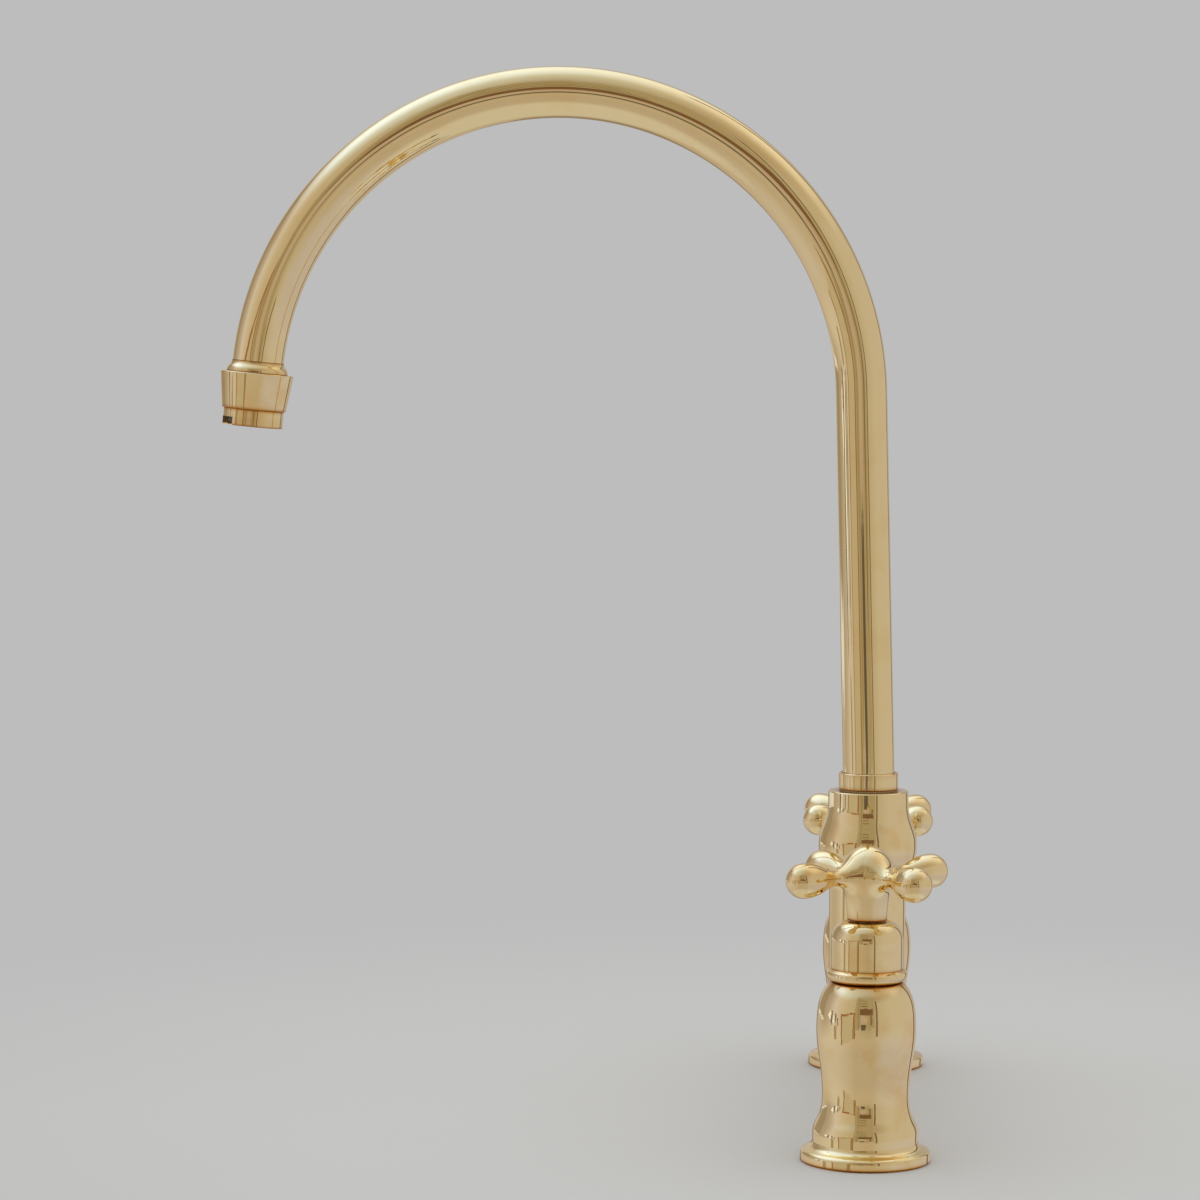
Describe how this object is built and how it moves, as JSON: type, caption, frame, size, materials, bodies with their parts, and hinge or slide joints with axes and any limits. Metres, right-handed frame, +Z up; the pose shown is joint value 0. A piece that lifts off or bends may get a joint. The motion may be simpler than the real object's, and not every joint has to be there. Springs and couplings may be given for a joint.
{
  "type": "bridge kitchen faucet",
  "caption": "Deck-mounted brass bridge faucet with vase-shaped valves, cross handles, an urn-shaped mixing column and a tall swivelling gooseneck spout.",
  "frame": {"origin": "on the top of the deck, midway between the two inlet shanks", "axes": "+X along the bridge towards the cold valve, -Y towards the spout's outlet, +Z up from the deck"},
  "size_m": [0.2621, 0.2984, 0.4878],
  "materials": {
    "polished_brass": "mirror-polished, unlacquered",
    "machined_brass": "as machined",
    "black_rubber": "moulded EPDM",
    "alumina_ceramic": "lapped",
    "stainless_steel": "plain",
    "acetal": "turned",
    "aerator_plastic": "moulded"
  },
  "bodies": {
    "faucet_body": {"right_base_flange": "polished_brass", "right_flange_gasket": "black_rubber", "right_valve_body": "polished_brass", "right_inlet_shank": "machined_brass", "right_rubber_washer": "black_rubber", "right_brass_washer": "machined_brass", "right_lock_nut": "machined_brass", "right_cartridge_body": "machined_brass", "right_seat_seal": "black_rubber", "right_fixed_disc": "alumina_ceramic", "right_bonnet": "polished_brass", "right_bridge_tube": "polished_brass", "right_bridge_unions": "polished_brass", "left_base_flange": "polished_brass", "left_flange_gasket": "black_rubber", "left_valve_body": "polished_brass", "left_inlet_shank": "machined_brass", "left_rubber_washer": "black_rubber", "left_brass_washer": "machined_brass", "left_lock_nut": "machined_brass", "left_cartridge_body": "machined_brass", "left_seat_seal": "black_rubber", "left_fixed_disc": "alumina_ceramic", "left_bonnet": "polished_brass", "left_bridge_tube": "polished_brass", "left_bridge_unions": "polished_brass", "mixing_column": "polished_brass", "column_plug": "polished_brass", "retaining_screw": "stainless_steel", "glide_washer": "acetal"},
    "right_handle_body": {"right_moving_disc": "alumina_ceramic", "right_spindle": "machined_brass", "right_spindle_o_rings": "black_rubber", "right_handle": "polished_brass", "right_handle_screw": "stainless_steel"},
    "left_handle_body": {"left_moving_disc": "alumina_ceramic", "left_spindle": "machined_brass", "left_spindle_o_rings": "black_rubber", "left_handle": "polished_brass", "left_handle_screw": "stainless_steel"},
    "spout_body": {"spout_stem": "machined_brass", "spout_o_rings": "black_rubber", "spout_collar": "polished_brass", "spout_tube": "polished_brass", "outlet_collar": "polished_brass", "aerator_washer": "black_rubber", "aerator_housing": "polished_brass", "aerator_insert": "aerator_plastic"}
  },
  "joints": [
    {"name": "spout_swivel", "type": "hinge", "parent": "faucet_body", "child": "spout_body", "pos_m": [0, 0, 0.13], "axis": [0, 0, 1], "continuous": true},
    {"name": "right_handle_turn", "type": "hinge", "parent": "faucet_body", "child": "right_handle_body", "pos_m": [0.1016, 0, 0.095], "axis": [0, 0, 1], "range_deg": [-90, 0]},
    {"name": "left_handle_turn", "type": "hinge", "parent": "faucet_body", "child": "left_handle_body", "pos_m": [-0.1016, 0, 0.095], "axis": [0, 0, 1], "range_deg": [0, 90]}
  ]
}
